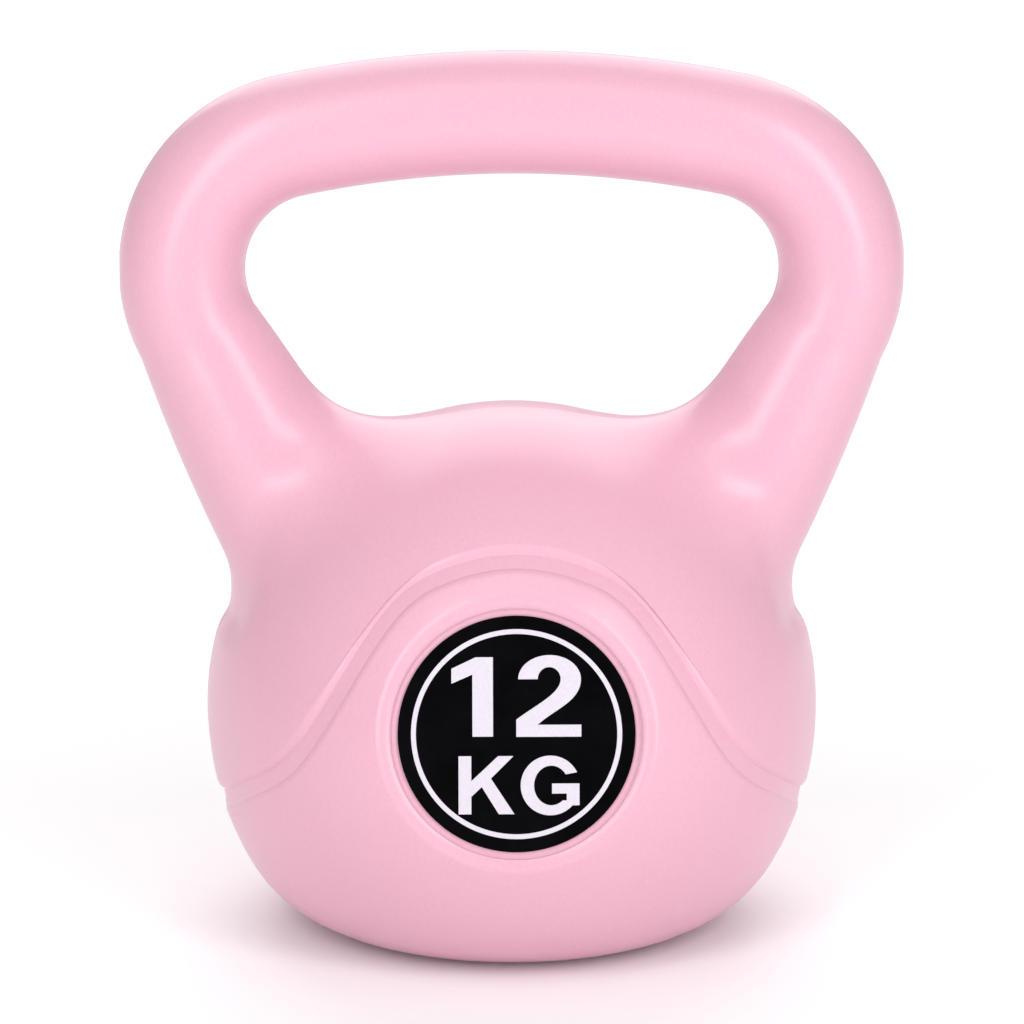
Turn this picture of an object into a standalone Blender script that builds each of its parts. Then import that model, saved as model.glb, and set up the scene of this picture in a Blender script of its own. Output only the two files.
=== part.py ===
"""Kettlebell: a hollow moulded shell, the ballast cast inside it, a plug in its base and two labels.

Metres, +Z up. The origin is on the floor under the middle of the ball, the bar runs along X and the
front faces -Y. The ball and the handle are one surface: the set of points where shell_distance is 0.
"""

import math

import bmesh
import bpy
import numpy as np
from mathutils import Matrix, Vector

# The ball, and the rounded edge that turns it into a flat base.
BALL_RADIUS = 0.0972
BASE_EDGE_RADIUS = 0.0425
BASE_EDGE_START = math.radians(29.5)  # how far under the ball's middle the edge begins

# The bar is bowed upwards, and a corner at each end turns it down into a leaning leg.
HANDLE_RISE = 0.0945  # centre line of the bar above the top of the ball
BAR_RADIUS = 0.0193
BOW_RADIUS = 0.340
BOW_HALF_ANGLE = math.radians(11.7)
CORNER_RADIUS = 0.0437
LEG_LEAN = math.radians(27.1)

# Each leg widens into a horn, which blends into the ball, wide on the inside and tight outside.
LEG_RADIUS = 0.0197
HORN_RADIUS = 0.0260
HORN_LENGTH = 0.085
BLEND_INSIDE = 0.0345
BLEND_OUTSIDE = 0.0100

# The shell's wall, and the clearance that touching pieces keep.
WALL = 0.0032
GAP = 0.0003

# The channel that runs round the ball in a wave, over the labels and down at the sides.
CHANNEL_DEPTH = 0.0014
CHANNEL_WIDTH = 0.0100
WAVE_OVER_RIM = math.radians(6.45)  # its crest above the pocket's rim, seen from the ball's middle
WAVE_TROUGH = math.radians(-16.7)  # its height at the sides, seen from the ball's middle
WAVE_ANGLES = (0, 18, 28, 35, 43, 56, 73, 90)  # degrees round the ball from the front
WAVE_SHARES = (1, 0.934, 0.787, 0.554, 0.333, 0.173, 0.051, 0)  # 1 at the crest, 0 at the trough

# The label sits on a flat-bottomed pocket whose rim is rolled over.
LABEL_RADIUS = 0.0364
LABEL_THICKNESS = 0.0005
LABEL_TILT = math.radians(9)
POCKET_CLEARANCE = 0.0023
POCKET_WALL = 0.0012
POCKET_ROLL_RADIUS = 0.0050
POCKET_ROLL_WIDTH = 0.0049

# The base: a foot ring round a raised panel, with the fill hole and its plug in the middle.
FOOT_RING_WIDTH = 0.0130
RECESS_DEPTH = 0.0035
FILL_HOLE_RADIUS = 0.0160
PLUG_FLANGE_WIDTH = 0.0045
PLUG_FLANGE_THICKNESS = 0.0018
PLUG_HEIGHT = 0.0130  # from the top of the flange to the closed end
PLUG_WALL = 0.0020
PLUG_BEAD = 0.0010

# How finely the surfaces are laid: spokes round the handle's opening, points round each section.
# Crowding moves spokes to the ball, and points to each section's outer side, which is the base there.
SHELL_SPOKES = 80
SHELL_POINTS = 42
CORE_SPOKES = 48
CORE_POINTS = 22
SPOKE_CROWDING = 0.45
POINT_CROWDING = 0.30
WAVE_POINTS = 72
TURNED_STEPS = 60

BALL_MIDDLE = BASE_EDGE_RADIUS + (BALL_RADIUS - BASE_EDGE_RADIUS) * math.sin(BASE_EDGE_START)
BASE_FLAT_RADIUS = (BALL_RADIUS - BASE_EDGE_RADIUS) * math.cos(BASE_EDGE_START)
BAR_HEIGHT = BALL_MIDDLE + BALL_RADIUS + HANDLE_RISE
PANEL_TOP = RECESS_DEPTH + WALL
POCKET_RADIUS = LABEL_RADIUS + POCKET_CLEARANCE
RIM_RADIUS = POCKET_RADIUS + POCKET_ROLL_WIDTH
RIM_ANGLE = math.asin(RIM_RADIUS / BALL_RADIUS)
SPIGOT_RADIUS = FILL_HOLE_RADIUS - GAP
FLANGE_TOP = RECESS_DEPTH - GAP
PLUG_TOP = FLANGE_TOP + PLUG_HEIGHT
UNDER_FLOOR = 0.002  # how far the base's cutters run on below it


def distance_to_ball(radius_out, height):
    """Distance to the turned ball: a sphere, or below its edge ray a disc with a rounded rim."""
    sphere = np.hypot(radius_out, height - BALL_MIDDLE) - BALL_RADIUS
    over_rim = np.maximum(radius_out - BASE_FLAT_RADIUS, 0)
    under_rim = np.minimum(height - BASE_EDGE_RADIUS, 0)
    edge = np.hypot(over_rim, under_rim) - BASE_EDGE_RADIUS
    slope = math.tan(BASE_EDGE_START)
    return np.where(height < BALL_MIDDLE - slope * radius_out, edge, sphere)


def handle_frame():
    """Middle of the bow, middle of the corner, and the leg's start, direction and outward normal."""
    bow = np.array([0, BAR_HEIGHT - BOW_RADIUS])
    inward = BOW_RADIUS - CORNER_RADIUS
    corner = bow + inward * np.array([math.sin(BOW_HALF_ANGLE), math.cos(BOW_HALF_ANGLE)])
    outward = np.array([math.cos(LEG_LEAN), -math.sin(LEG_LEAN)])
    down = np.array([-math.sin(LEG_LEAN), -math.cos(LEG_LEAN)])
    return bow, corner, corner + CORNER_RADIUS * outward, down, outward


def distance_to_handle(x, y, z):
    """Distance to the tube of the bar, corner or leg, whichever is nearest, and the blend's width."""
    bow, corner, leg, down, outward = handle_frame()
    bar = np.hypot(np.hypot(x - bow[0], z - bow[1]) - BOW_RADIUS, y) - BAR_RADIUS
    on_bar = x * math.cos(BOW_HALF_ANGLE) < (z - bow[1]) * math.sin(BOW_HALF_ANGLE)

    turn = np.arctan2(x - corner[0], z - corner[1])
    share = (turn - BOW_HALF_ANGLE) / (math.pi / 2 + LEG_LEAN - BOW_HALF_ANGLE)
    eased = np.clip(share, 0, 1) ** 2 * (3 - 2 * np.clip(share, 0, 1))
    radius = BAR_RADIUS + (LEG_RADIUS - BAR_RADIUS) * eased
    bend = np.hypot(np.hypot(x - corner[0], z - corner[1]) - CORNER_RADIUS, y) - radius
    on_bend = (share >= 0) & (share <= 1)

    along = (x - leg[0]) * down[0] + (z - leg[1]) * down[1]
    off = (x - leg[0]) * outward[0] + (z - leg[1]) * outward[1]
    to_middle = (0 - leg[0]) * down[0] + (BALL_MIDDLE - leg[1]) * down[1]
    end = to_middle - HORN_RADIUS
    widened = np.clip(along / HORN_LENGTH, 0, 1)
    radius = LEG_RADIUS + (HORN_RADIUS - LEG_RADIUS) * widened * (2 - widened)
    past_end = np.maximum(along - end, 0)
    horn = np.sqrt(off**2 + y**2 + past_end**2) - radius

    far = 10 * BALL_RADIUS
    nearest = np.where(on_bar, bar, far)
    nearest = np.minimum(nearest, np.where(on_bend, bend, far))
    nearest = np.minimum(nearest, np.where(along > 0, horn, far))
    inside = 0.5 - 0.5 * off / np.maximum(np.hypot(off, y), 1e-9)
    return nearest, BLEND_OUTSIDE + (BLEND_INSIDE - BLEND_OUTSIDE) * inside


def roll_end():
    """How far round the rim's roll has turned, from the pocket's axis, where the pocket's wall begins."""
    return math.asin(math.sin(RIM_ANGLE) - POCKET_ROLL_WIDTH / POCKET_ROLL_RADIUS)


def pocket_floor():
    """Distance of the pocket's floor from the ball's middle, from the roll that meets the ball."""
    meets_ball = BALL_RADIUS * math.cos(RIM_ANGLE)
    roll_foot = meets_ball + POCKET_ROLL_RADIUS * (math.cos(roll_end()) - math.cos(RIM_ANGLE))
    return roll_foot - POCKET_WALL


def shell_distance(x, y, z, inset, lowest):
    """Distance outside the moulded form, moved inwards by inset and cut off flat under lowest."""
    x = np.abs(x)
    ball = distance_to_ball(np.hypot(x, y), z)
    handle, blend = distance_to_handle(x, y, z)
    share = np.clip(0.5 + 0.5 * (handle - ball) / blend, 0, 1)
    joined = handle * (1 - share) + ball * share - blend * share * (1 - share)
    distance = joined + inset
    if inset > 0:
        outward = np.abs(y) * math.cos(LABEL_TILT) + (z - BALL_MIDDLE) * math.sin(LABEL_TILT)
        behind_label = outward - (pocket_floor() - inset)
        distance = np.maximum(distance, np.maximum(behind_label, lowest - z))
    return distance


def crossing(distance_at, inner, outer):
    """Where distance_at changes sign between inner and outer, halving the gap 40 times."""
    low_side = distance_at(inner) < 0
    for _ in range(40):
        middle = (inner + outer) / 2
        same = (distance_at(middle) < 0) == low_side
        inner = np.where(same, middle, inner)
        outer = np.where(same, outer, middle)
    return (inner + outer) / 2


def outer_middles(across, up, eye):
    """How far along each spoke, which starts at eye, the middle of the outer skin's section lies."""

    def on_spoke(reach):
        return shell_distance(across * reach, 0 * reach, eye + up * reach, 0, 0)

    search = np.linspace(0, 2 * eye, 400)
    solid = np.array([on_spoke(np.full(len(across), reach)) < 0 for reach in search])
    first = solid.argmax(axis=0)
    last = len(search) - 1 - solid[::-1].argmax(axis=0)
    near = crossing(on_spoke, search[first - 1], search[first])
    far = crossing(on_spoke, search[last], search[last + 1])
    return (near + far) / 2


def lay_form(name, collection, inset, lowest, spokes, points):
    """Loft the moulded form from sections that fan out from the middle of the handle's opening.

    Each section's points lie on rays from the middle of the outer skin's section, so that a form with
    another inset and the same counts has its points on the same rays. Each twisted square is laid as
    two triangles, split the same way in every form, and so the gap stays even."""
    eye = BALL_MIDDLE + BALL_RADIUS + (HANDLE_RISE - BAR_RADIUS) / 2
    turns = np.arange(spokes) / spokes * math.tau
    spoke = turns + SPOKE_CROWDING * np.sin(turns)
    across, up = np.sin(spoke), np.cos(spoke)
    middle = outer_middles(across, up, eye)[:, None]

    around = np.arange(points) / points * math.tau
    around = around - POINT_CROWDING * np.sin(around)
    outward, sideways = np.cos(around)[None], np.sin(around)[None]

    def place(reach):
        along = middle + outward * reach
        return across[:, None] * along, sideways * reach, eye + up[:, None] * along

    def on_section(reach):
        return shell_distance(*place(reach), inset, lowest)

    to_eye = middle / np.maximum(-outward, 1e-9)
    rim = crossing(on_section, np.zeros((spokes, points)), np.minimum(to_eye, 2 * BALL_RADIUS))
    grid = np.stack(place(rim), axis=-1).reshape(-1, 3)

    i, j = np.meshgrid(np.arange(spokes), np.arange(points), indexing="ij")
    i_next, j_next = (i + 1) % spokes, (j + 1) % points
    corners = [(i, j), (i_next, j), (i_next, j_next), (i, j), (i_next, j_next), (i, j_next)]
    faces = np.stack([a * points + b for a, b in corners], axis=-1).reshape(-1, 3)

    mesh = bpy.data.meshes.new(name)
    mesh.from_pydata(grid.tolist(), [], faces.tolist())
    return finish_mesh(name, mesh, collection)


def finish_mesh(name, mesh, collection):
    """Point the faces outwards, shade them smooth and put the mesh in the scene."""
    shape = bmesh.new()
    shape.from_mesh(mesh)
    bmesh.ops.recalc_face_normals(shape, faces=shape.faces)
    shape.to_mesh(mesh)
    shape.free()
    mesh.shade_smooth()
    mesh.set_sharp_from_angle(angle=math.radians(40))
    made = bpy.data.objects.new(name, mesh)
    collection.objects.link(made)
    return made


def turn(name, collection, profile, steps=TURNED_STEPS):
    """Turn a profile of (radius, height) points, from the axis down the outside, about Z."""
    mesh = bpy.data.meshes.new(name)
    points = [(radius, 0, height) for radius, height in profile]
    mesh.from_pydata(points, [(k, k + 1) for k in range(len(points) - 1)], [])
    made = bpy.data.objects.new(name, mesh)
    collection.objects.link(made)
    screw = made.modifiers.new("turned", "SCREW")
    screw.steps = steps
    screw.render_steps = steps
    screw.use_merge_vertices = True
    screw.merge_threshold = 0.00001
    screw.use_smooth_shade = True
    return made


def cut(piece, cutter):
    """Take the cutter away from the piece, and hide the cutter."""
    boolean = piece.modifiers.new(cutter.name, "BOOLEAN")
    boolean.operation = "DIFFERENCE"
    boolean.object = cutter
    cutter.hide_render = True
    cutter.display_type = "WIRE"


def finish_of(name, colour, roughness):
    material = bpy.data.materials.new(name)
    material.use_nodes = True
    shader = material.node_tree.nodes["Principled BSDF"]
    shader.inputs["Base Color"].default_value = (*colour, 1)
    shader.inputs["Roughness"].default_value = roughness
    shader.inputs["Metallic"].default_value = 0
    return material


def smooth_through(angles, values, at):
    """A cubic spline through the points, level at both ends."""
    angles, values = np.array(angles, float), np.array(values, float)
    step = np.diff(angles)
    count = len(angles)
    system, right = np.eye(count), np.zeros(count)
    for k in range(1, count - 1):
        system[k, k - 1 : k + 2] = step[k], 2 * (step[k] + step[k - 1]), step[k - 1]
        rise_before = (values[k] - values[k - 1]) / step[k - 1]
        rise_after = (values[k + 1] - values[k]) / step[k]
        right[k] = 3 * (rise_before * step[k] + rise_after * step[k - 1])
    slopes = np.linalg.solve(system, right)
    k = np.clip(np.searchsorted(angles, at) - 1, 0, count - 2)
    t = (at - angles[k]) / step[k]
    from_values = values[k] * (1 + 2 * t) * (1 - t) ** 2 + values[k + 1] * t**2 * (3 - 2 * t)
    from_slopes = slopes[k] * t * (1 - t) ** 2 - slopes[k + 1] * t**2 * (1 - t)
    return from_values + from_slopes * step[k]


def wave_cutter(collection):
    """A closed tube that follows the wave round the ball and dips into it by the channel's depth."""
    tube_radius = (CHANNEL_WIDTH / 2) ** 2 / (2 * CHANNEL_DEPTH) + CHANNEL_DEPTH / 2
    reach = BALL_RADIUS - CHANNEL_DEPTH + tube_radius
    around = np.arange(WAVE_POINTS) / WAVE_POINTS * 360
    from_face = np.minimum(around % 180, 180 - around % 180)
    crest = LABEL_TILT + RIM_ANGLE + WAVE_OVER_RIM
    share = smooth_through(WAVE_ANGLES, WAVE_SHARES, from_face)
    latitude = WAVE_TROUGH + (crest - WAVE_TROUGH) * share
    around = np.radians(around)
    curve = bpy.data.curves.new("wave_route", "CURVE")
    curve.dimensions = "3D"
    curve.bevel_depth = tube_radius
    curve.bevel_resolution = 2
    spline = curve.splines.new("POLY")
    spline.points.add(WAVE_POINTS - 1)
    x = reach * np.cos(latitude) * np.sin(around)
    y = -reach * np.cos(latitude) * np.cos(around)
    z = BALL_MIDDLE + reach * np.sin(latitude)
    spline.points.foreach_set("co", np.stack([x, y, z, 0 * x + 1], axis=-1).ravel())
    spline.use_cyclic_u = True
    route = bpy.data.objects.new("wave_route", curve)
    collection.objects.link(route)
    bpy.context.view_layer.update()
    graph = bpy.context.evaluated_depsgraph_get()
    mesh = bpy.data.meshes.new_from_object(route.evaluated_get(graph))
    bpy.data.objects.remove(route)
    return finish_mesh("wave_cutter", mesh, collection)


def facing(side):
    """The place and direction of a label: side is 1 at the front and -1 at the back."""
    tip = Matrix.Rotation(side * (math.pi / 2 - LABEL_TILT), 4, "X")
    return Matrix.Translation((0, 0, BALL_MIDDLE)) @ tip


def pocket_cutter(name, collection, side):
    """The label's pocket: a flat floor, a short wall, and a roll that meets the ball."""
    roll_steps = 5
    outside = RIM_RADIUS + POCKET_ROLL_RADIUS
    meets_ball = BALL_RADIUS * math.cos(RIM_ANGLE)
    level = meets_ball - POCKET_ROLL_RADIUS * math.cos(RIM_ANGLE)
    profile = [(0, 2 * BALL_RADIUS), (outside, 2 * BALL_RADIUS), (outside, meets_ball)]
    for k in range(roll_steps + 1):
        angle = RIM_ANGLE + (roll_end() - RIM_ANGLE) * k / roll_steps
        radius = RIM_RADIUS + POCKET_ROLL_RADIUS * (math.sin(angle) - math.sin(RIM_ANGLE))
        profile.append((radius, level + POCKET_ROLL_RADIUS * math.cos(angle)))
    profile += [(POCKET_RADIUS, pocket_floor()), (0, pocket_floor())]
    made = turn(name, collection, profile)
    made.matrix_world = facing(side)
    return made


def make_shell(parts, cutters):
    """The moulded skin, less the wave, the pockets, the base's recess, the cavity and the fill hole."""
    shell = lay_form("shell", parts, 0, 0, SHELL_SPOKES, SHELL_POINTS)
    cut(shell, wave_cutter(cutters))
    for name, side in (("front_pocket_cutter", 1), ("back_pocket_cutter", -1)):
        cut(shell, pocket_cutter(name, cutters, side))
    recess = BASE_FLAT_RADIUS - FOOT_RING_WIDTH
    profile = [(0, RECESS_DEPTH), (recess - RECESS_DEPTH, RECESS_DEPTH)]
    profile += [(recess + UNDER_FLOOR, -UNDER_FLOOR), (0, -UNDER_FLOOR)]
    cut(shell, turn("recess_cutter", cutters, profile))
    cut(shell, lay_form("cavity_cutter", cutters, WALL, PANEL_TOP, CORE_SPOKES, CORE_POINTS))
    above = PANEL_TOP + WALL
    profile = [(0, above), (FILL_HOLE_RADIUS, above)]
    profile += [(FILL_HOLE_RADIUS, -UNDER_FLOOR), (0, -UNDER_FLOOR)]
    cut(shell, turn("fill_hole_cutter", cutters, profile))
    shell.data.materials.append(finish_of("pink_polyethylene", (0.93, 0.53, 0.65), 0.42))


def make_core(parts, cutters):
    """The ballast, which fills the cavity and set round the end of the plug."""
    inset = WALL + GAP
    core = lay_form("ballast_core", parts, inset, PANEL_TOP + GAP, CORE_SPOKES, CORE_POINTS)
    top = PLUG_TOP + GAP
    radius = SPIGOT_RADIUS + PLUG_BEAD + GAP
    profile = [(0, top), (radius, top), (radius, 0), (0, 0)]
    cut(core, turn("plug_relief_cutter", cutters, profile))
    core.data.materials.append(finish_of("cement_and_iron_sand", (0.30, 0.29, 0.28), 0.9))


def make_plug(parts):
    """A cup with a flange under the base panel and a snap bead above it."""
    bead_foot = PANEL_TOP + GAP
    flange = FILL_HOLE_RADIUS + PLUG_FLANGE_WIDTH
    cup = SPIGOT_RADIUS - PLUG_WALL
    profile = [
        (0, PLUG_TOP),
        (SPIGOT_RADIUS - PLUG_BEAD, PLUG_TOP),
        (SPIGOT_RADIUS, bead_foot + 3 * PLUG_BEAD),
        (SPIGOT_RADIUS + PLUG_BEAD, bead_foot + PLUG_BEAD),
        (SPIGOT_RADIUS, bead_foot),
        (SPIGOT_RADIUS, FLANGE_TOP),
        (flange, FLANGE_TOP),
        (flange, FLANGE_TOP - PLUG_FLANGE_THICKNESS),
        (cup, FLANGE_TOP - PLUG_FLANGE_THICKNESS),
        (cup - PLUG_BEAD, PLUG_TOP - PLUG_WALL),
        (0, PLUG_TOP - PLUG_WALL),
    ]
    plug = turn("fill_plug", parts, profile, TURNED_STEPS // 2)
    plug.data.materials.append(finish_of("black_polyethylene", (0.02, 0.02, 0.02), 0.5))


def make_label(parts, name, side, material):
    """A vinyl disc that lies on the pocket's floor."""
    shape = bmesh.new()
    bmesh.ops.create_cone(
        shape,
        cap_ends=True,
        segments=TURNED_STEPS,
        radius1=LABEL_RADIUS,
        radius2=LABEL_RADIUS,
        depth=LABEL_THICKNESS,
    )
    height = pocket_floor() + GAP + LABEL_THICKNESS / 2
    bmesh.ops.translate(shape, verts=shape.verts, vec=Vector((0, 0, height)))
    mesh = bpy.data.meshes.new(name)
    shape.to_mesh(mesh)
    shape.free()
    mesh.shade_smooth()
    mesh.set_sharp_from_angle(angle=math.radians(40))
    label = bpy.data.objects.new(name, mesh)
    label.matrix_world = facing(side)
    label.data.materials.append(material)
    parts.objects.link(label)


def main():
    for old in list(bpy.data.objects):
        bpy.data.objects.remove(old)
    parts = bpy.data.collections.new("kettlebell")
    cutters = bpy.data.collections.new("cutters")
    for collection in (parts, cutters):
        bpy.context.scene.collection.children.link(collection)
    make_shell(parts, cutters)
    make_core(parts, cutters)
    make_plug(parts)
    vinyl = finish_of("black_vinyl", (0.012, 0.012, 0.014), 0.3)
    make_label(parts, "front_label", 1, vinyl)
    make_label(parts, "back_label", -1, vinyl)


main()
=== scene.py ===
# %% [markdown]
# # A kettlebell in a blow-moulded skin
#
# The real object is a thin polyethylene skin, blown inside a two-part mould, filled with cement and
# iron sand and stopped with a plug in its base. A round vinyl label lies in a shallow pocket on the
# front and on the back. Nothing on it moves.
#
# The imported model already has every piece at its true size. This script keeps that frame and makes
# the surfaces fine: the moulded skin with its wave-shaped channel, rolled pocket rims and parting
# line, the printed labels, the plug and the ballast.

import math

import bmesh
import bpy
import numpy as np
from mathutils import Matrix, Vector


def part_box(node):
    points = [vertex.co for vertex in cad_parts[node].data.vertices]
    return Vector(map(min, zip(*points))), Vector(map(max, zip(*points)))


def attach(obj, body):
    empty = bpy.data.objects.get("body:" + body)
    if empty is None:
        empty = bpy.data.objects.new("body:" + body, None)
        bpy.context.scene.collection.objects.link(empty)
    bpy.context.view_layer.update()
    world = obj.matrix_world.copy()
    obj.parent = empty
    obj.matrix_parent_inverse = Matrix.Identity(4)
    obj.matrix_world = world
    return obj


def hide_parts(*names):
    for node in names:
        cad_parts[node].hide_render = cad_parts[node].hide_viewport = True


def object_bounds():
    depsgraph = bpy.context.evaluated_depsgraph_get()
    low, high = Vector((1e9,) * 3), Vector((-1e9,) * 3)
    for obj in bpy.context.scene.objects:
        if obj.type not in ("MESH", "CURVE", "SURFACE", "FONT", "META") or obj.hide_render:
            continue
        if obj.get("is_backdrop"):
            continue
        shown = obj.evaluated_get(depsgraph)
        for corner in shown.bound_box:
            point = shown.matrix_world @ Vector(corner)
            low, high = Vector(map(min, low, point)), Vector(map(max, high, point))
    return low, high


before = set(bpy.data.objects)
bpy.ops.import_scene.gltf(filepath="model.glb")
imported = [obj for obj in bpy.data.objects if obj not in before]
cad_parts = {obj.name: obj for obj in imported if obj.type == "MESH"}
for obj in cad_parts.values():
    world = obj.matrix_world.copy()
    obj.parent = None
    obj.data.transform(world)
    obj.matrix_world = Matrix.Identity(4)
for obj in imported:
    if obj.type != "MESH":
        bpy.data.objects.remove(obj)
cad_low, cad_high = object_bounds()
print("nodes:", sorted(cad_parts))
print("size in mm:", [round(1000 * side, 1) for side in cad_high - cad_low])

# %% [markdown]
# ## The sizes
#
# The skin is drawn with the same sizes as the model: a ball with a rounded foot, a bowed bar, two
# corners, and two leaning legs that widen into horns where they meet the ball. All are in metres.

# %% Sizes of the ball and the handle
BALL_RADIUS = 0.0972
BASE_EDGE_RADIUS = 0.0425
BASE_EDGE_START = math.radians(29.5)
HANDLE_RISE = 0.0945
BAR_RADIUS = 0.0193
BOW_RADIUS = 0.340
BOW_HALF_ANGLE = math.radians(11.7)
CORNER_RADIUS = 0.0437
LEG_LEAN = math.radians(27.1)
LEG_RADIUS = 0.0197
HORN_RADIUS = 0.0260
HORN_LENGTH = 0.085
BLEND_INSIDE = 0.0345
BLEND_OUTSIDE = 0.0100
WALL = 0.0032
GAP = 0.0003

BALL_MIDDLE = BASE_EDGE_RADIUS + (BALL_RADIUS - BASE_EDGE_RADIUS) * math.sin(BASE_EDGE_START)
BASE_FLAT_RADIUS = (BALL_RADIUS - BASE_EDGE_RADIUS) * math.cos(BASE_EDGE_START)
BAR_HEIGHT = BALL_MIDDLE + BALL_RADIUS + HANDLE_RISE
MIDDLE = np.array([0, 0, BALL_MIDDLE])
print("top of the bar:", round(1000 * (BAR_HEIGHT + BAR_RADIUS), 2), "mm")
print("top of the frame:", round(1000 * cad_high.z, 2), "mm")

# %% [markdown]
# ## The skin as a distance
#
# A blown form has no edges between its handle and its ball: the plastic stretches over one smooth
# hollow. It could be sculpted, or joined from a sphere and tubes with a fillet. Here it is written
# as a distance instead: one function says how far any point is outside the skin, and the skin is
# where it is zero. Two shapes blend when their distances are mixed wherever they are nearly equal.


# %% Distance to the ball
def distance_to_ball(radius_out, height):
    """A sphere, and under the line where its foot begins a disc whose rim is rounded."""
    sphere = np.hypot(radius_out, height - BALL_MIDDLE) - BALL_RADIUS
    over_rim = np.maximum(radius_out - BASE_FLAT_RADIUS, 0)
    under_rim = np.minimum(height - BASE_EDGE_RADIUS, 0)
    foot = np.hypot(over_rim, under_rim) - BASE_EDGE_RADIUS
    return np.where(height < BALL_MIDDLE - math.tan(BASE_EDGE_START) * radius_out, foot, sphere)


# %% Where the handle's centre line runs
BOW = np.array([0, BAR_HEIGHT - BOW_RADIUS])
BOW_END_RAY = np.array([math.sin(BOW_HALF_ANGLE), math.cos(BOW_HALF_ANGLE)])
CORNER = BOW + (BOW_RADIUS - CORNER_RADIUS) * BOW_END_RAY
OUTWARD = np.array([math.cos(LEG_LEAN), -math.sin(LEG_LEAN)])
DOWN = np.array([-math.sin(LEG_LEAN), -math.cos(LEG_LEAN)])
LEG = CORNER + CORNER_RADIUS * OUTWARD
CORNER_TURN = math.pi / 2 + LEG_LEAN - BOW_HALF_ANGLE
print("the leg starts at x, z =", np.round(1000 * LEG, 1), "mm")


# %% Distance to the handle
def eased(share):
    """From 0 to 1, level at both ends."""
    share = np.clip(share, 0, 1)
    return share * share * (3 - 2 * share)


def distance_to_handle(x, y, z):
    """Distance to the nearest of three round tubes, along the bow, the corner and the leg, and how
    wide it blends into the ball: more on the opening's side of the leg than outside it."""
    bar = np.hypot(np.hypot(x - BOW[0], z - BOW[1]) - BOW_RADIUS, y) - BAR_RADIUS
    on_bar = x * math.cos(BOW_HALF_ANGLE) < (z - BOW[1]) * math.sin(BOW_HALF_ANGLE)

    share = (np.arctan2(x - CORNER[0], z - CORNER[1]) - BOW_HALF_ANGLE) / CORNER_TURN
    radius = BAR_RADIUS + (LEG_RADIUS - BAR_RADIUS) * eased(share)
    bend = np.hypot(np.hypot(x - CORNER[0], z - CORNER[1]) - CORNER_RADIUS, y) - radius
    on_bend = (share >= 0) & (share <= 1)

    along = (x - LEG[0]) * DOWN[0] + (z - LEG[1]) * DOWN[1]
    off = (x - LEG[0]) * OUTWARD[0] + (z - LEG[1]) * OUTWARD[1]
    end = (MIDDLE[0] - LEG[0]) * DOWN[0] + (BALL_MIDDLE - LEG[1]) * DOWN[1] - HORN_RADIUS
    widened = np.clip(along / HORN_LENGTH, 0, 1)
    radius = LEG_RADIUS + (HORN_RADIUS - LEG_RADIUS) * widened * (2 - widened)
    horn = np.sqrt(off**2 + y**2 + np.maximum(along - end, 0) ** 2) - radius

    far = 10 * BALL_RADIUS
    nearest = np.where(on_bar, bar, far)
    nearest = np.minimum(nearest, np.where(on_bend, bend, far))
    nearest = np.minimum(nearest, np.where(along > 0, horn, far))
    inside = 0.5 - 0.5 * off / np.maximum(np.hypot(off, y), 1e-9)
    return nearest, BLEND_OUTSIDE + (BLEND_INSIDE - BLEND_OUTSIDE) * inside


# %% The label's axis, and the plane behind it that the cavity keeps clear of
LABEL_RADIUS = 0.0364
LABEL_THICKNESS = 0.0005
LABEL_TILT = math.radians(9)
POCKET_RADIUS = LABEL_RADIUS + 0.0023
POCKET_WALL = 0.0012
ROLL_RADIUS = 0.0050
ROLL_WIDTH = 0.0049
RIM_RADIUS = POCKET_RADIUS + ROLL_WIDTH
RIM_ANGLE = math.asin(RIM_RADIUS / BALL_RADIUS)
ROLL_END = math.asin(math.sin(RIM_ANGLE) - ROLL_WIDTH / ROLL_RADIUS)
ROLL_CENTRE = (BALL_RADIUS - ROLL_RADIUS) * math.cos(RIM_ANGLE)
POCKET_FLOOR = ROLL_CENTRE + ROLL_RADIUS * math.cos(ROLL_END) - POCKET_WALL

LABEL_RIGHT = np.array([1, 0, 0])
LABEL_UP = np.array([0, math.sin(LABEL_TILT), math.cos(LABEL_TILT)])
LABEL_OUT = np.array([0, -math.cos(LABEL_TILT), math.sin(LABEL_TILT)])
print("the pocket's floor is", round(1000 * POCKET_FLOOR, 2), "mm from the ball's middle")


# %% The whole skin, and moving points onto it
SHOULDER_DEPTH = 0.0019
SHOULDER_LOW = 0.0945
SHOULDER_HIGH = 0.1030
SHOULDER_NEAR = 0.045
SHOULDER_FAR = 0.075
SHOULDER_EDGE = 26
SHOULDER_SOFT = 14
LEAST_STEEPNESS = 0.05


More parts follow.
